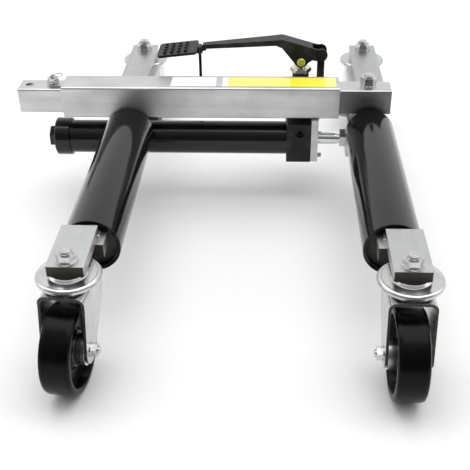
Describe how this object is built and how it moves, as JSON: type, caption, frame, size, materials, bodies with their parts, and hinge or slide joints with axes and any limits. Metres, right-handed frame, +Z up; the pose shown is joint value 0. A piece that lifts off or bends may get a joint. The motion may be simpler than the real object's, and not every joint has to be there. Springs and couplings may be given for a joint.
{
  "type": "wheel dolly",
  "caption": "Hydraulic wheel dolly: roller arms on a telescopic square beam, closed by a foot pump under a car tyre, on swivel casters.",
  "frame": {"origin": "the middle of the object's footprint, on the floor, with the dolly closed", "axes": "+Z up; X along the square beam, +X the way the inner tube and right arm slide out; Y along the roller arms, their open front ends at -Y and the pump lever on the +Y side of the beam"},
  "size_m": [0.5314, 0.7618, 0.2135],
  "materials": {
    "zinc_plate": "bright zinc plated, satin, faint rolling streaks",
    "bright_fastener": "bright zinc plated",
    "bearing_steel": "ground",
    "gloss_black": "gloss enamel",
    "satin_black": "satin powder coat",
    "chrome_rod": "hard chromed and polished",
    "yellow_zinc": "yellow passivated zinc",
    "spring_steel": "oiled",
    "piston_iron": "machined",
    "seal_rubber": "smooth",
    "roller_bearing_plastic": "moulded",
    "wheel_plastic": "moulded, soft sheen",
    "white_sticker": "printed film",
    "yellow_sticker": "printed film"
  },
  "bodies": {
    "left_frame": {"outer_tube": "zinc_plate", "lock_tongue": "zinc_plate", "left_axle_beam": "zinc_plate", "left_caster_bars": "zinc_plate", "left_roller_bearings": "roller_bearing_plastic", "left_swivel_heads": "zinc_plate", "left_swivel_balls": "bearing_steel", "left_kingpins": "bright_fastener", "mount_plate": "zinc_plate", "cylinder_barrel": "gloss_black", "cylinder_end_cap": "gloss_black", "pump_block": "satin_black", "block_studs": "bright_fastener", "pump_gland_nut": "yellow_zinc", "pump_return_spring": "spring_steel", "lever_post": "satin_black", "white_label": "white_sticker", "yellow_label": "yellow_sticker"},
    "right_frame": {"inner_tube": "zinc_plate", "closing_stop_screw": "bright_fastener", "right_axle_beam": "zinc_plate", "arm_spacer": "zinc_plate", "arm_bolt": "bright_fastener", "right_caster_bars": "zinc_plate", "right_roller_bearings": "roller_bearing_plastic", "right_swivel_heads": "zinc_plate", "right_swivel_balls": "bearing_steel", "right_kingpins": "bright_fastener", "rod_lug": "zinc_plate", "piston_rod": "chrome_rod", "rod_jam_nut": "bright_fastener", "cylinder_piston": "piston_iron", "piston_seals": "seal_rubber"},
    "left_roller": {"left_roller_tube": "gloss_black"},
    "right_roller": {"right_roller_tube": "gloss_black"},
    "foot_lever": {"lever_channel": "satin_black", "lever_handle": "satin_black", "foot_pad": "satin_black", "piston_pin": "yellow_zinc", "fulcrum_pin": "bright_fastener"},
    "plunger": {"pump_piston": "chrome_rod"},
    "release_valve": {"release_valve_screw": "satin_black"},
    "hook": {"hold_down_hook": "satin_black"},
    "locking_pin": {"lock_pin": "bright_fastener"},
    "front_left_swivel": {"front_left_fork": "zinc_plate", "front_left_axle_bolt": "bright_fastener"},
    "front_left_castor_wheel": {"front_left_wheel": "wheel_plastic", "front_left_hub_bush": "bearing_steel"},
    "rear_left_swivel": {"rear_left_fork": "zinc_plate", "rear_left_axle_bolt": "bright_fastener"},
    "rear_left_castor_wheel": {"rear_left_wheel": "wheel_plastic", "rear_left_hub_bush": "bearing_steel"},
    "front_right_swivel": {"front_right_fork": "zinc_plate", "front_right_axle_bolt": "bright_fastener"},
    "front_right_castor_wheel": {"front_right_wheel": "wheel_plastic", "front_right_hub_bush": "bearing_steel"},
    "rear_right_swivel": {"rear_right_fork": "zinc_plate", "rear_right_axle_bolt": "bright_fastener"},
    "rear_right_castor_wheel": {"rear_right_wheel": "wheel_plastic", "rear_right_hub_bush": "bearing_steel"}
  },
  "joints": [
    {"name": "beam_slide", "type": "slide", "parent": "left_frame", "child": "right_frame", "axis": [1, 0, 0], "range_m": [0, 0.295]},
    {"name": "left_roller_spin", "type": "hinge", "parent": "left_frame", "child": "left_roller", "pos_m": [-0.11275, -0.08308, 0.1115], "axis": [0, 1, 0], "continuous": true},
    {"name": "right_roller_spin", "type": "hinge", "parent": "right_frame", "child": "right_roller", "pos_m": [0.22225, -0.08308, 0.1115], "axis": [0, 1, 0], "continuous": true},
    {"name": "lever_pivot", "type": "hinge", "parent": "left_frame", "child": "foot_lever", "pos_m": [0.15675, 0.15892, 0.1907], "axis": [0, 1, 0], "range_deg": [0, 30]},
    {"name": "plunger_slide", "type": "slide", "parent": "left_frame", "child": "plunger", "axis": [0, 0, 1], "range_m": [0, 0.01577], "deforming": ["pump_return_spring"]},
    {"name": "valve_turn", "type": "hinge", "parent": "left_frame", "child": "release_valve", "pos_m": [0.12625, 0.06892, 0.1096], "axis": [0, 1, 0], "range_deg": [0, 180]},
    {"name": "hook_swing", "type": "hinge", "parent": "foot_lever", "child": "hook", "pos_m": [-0.0183, 0.15892, 0.19553], "axis": [0, 1, 0], "range_deg": [-45, 45]},
    {"name": "lock_pin_slide", "type": "slide", "parent": "left_frame", "child": "locking_pin", "axis": [0, 0, 1], "range_m": [-0.0025, 0]},
    {"name": "front_left_swivel_turn", "type": "hinge", "parent": "left_frame", "child": "front_left_swivel", "pos_m": [-0.12125, -0.30108, 0.118], "axis": [0, 0, 1], "continuous": true},
    {"name": "front_left_wheel_roll", "type": "hinge", "parent": "front_left_swivel", "child": "front_left_castor_wheel", "pos_m": [-0.12428, -0.32993, 0.05], "axis": [0.9945, -0.1045, 0], "continuous": true},
    {"name": "rear_left_swivel_turn", "type": "hinge", "parent": "left_frame", "child": "rear_left_swivel", "pos_m": [-0.12125, 0.30192, 0.118], "axis": [0, 0, 1], "continuous": true},
    {"name": "rear_left_wheel_roll", "type": "hinge", "parent": "rear_left_swivel", "child": "rear_left_castor_wheel", "pos_m": [-0.12125, 0.33092, 0.05], "axis": [1, 0, 0], "continuous": true},
    {"name": "front_right_swivel_turn", "type": "hinge", "parent": "right_frame", "child": "front_right_swivel", "pos_m": [0.23075, -0.30108, 0.118], "axis": [0, 0, 1], "continuous": true},
    {"name": "front_right_wheel_roll", "type": "hinge", "parent": "front_right_swivel", "child": "front_right_castor_wheel", "pos_m": [0.23075, -0.33008, 0.05], "axis": [1, 0, 0], "continuous": true},
    {"name": "rear_right_swivel_turn", "type": "hinge", "parent": "right_frame", "child": "rear_right_swivel", "pos_m": [0.23075, 0.30192, 0.118], "axis": [0, 0, 1], "continuous": true},
    {"name": "rear_right_wheel_roll", "type": "hinge", "parent": "rear_right_swivel", "child": "rear_right_castor_wheel", "pos_m": [0.23075, 0.33092, 0.05], "axis": [1, 0, 0], "continuous": true}
  ],
  "couplings": [
    {"joint": "plunger_slide", "follows": "lever_pivot", "m_per_rad": 0.030112}
  ]
}
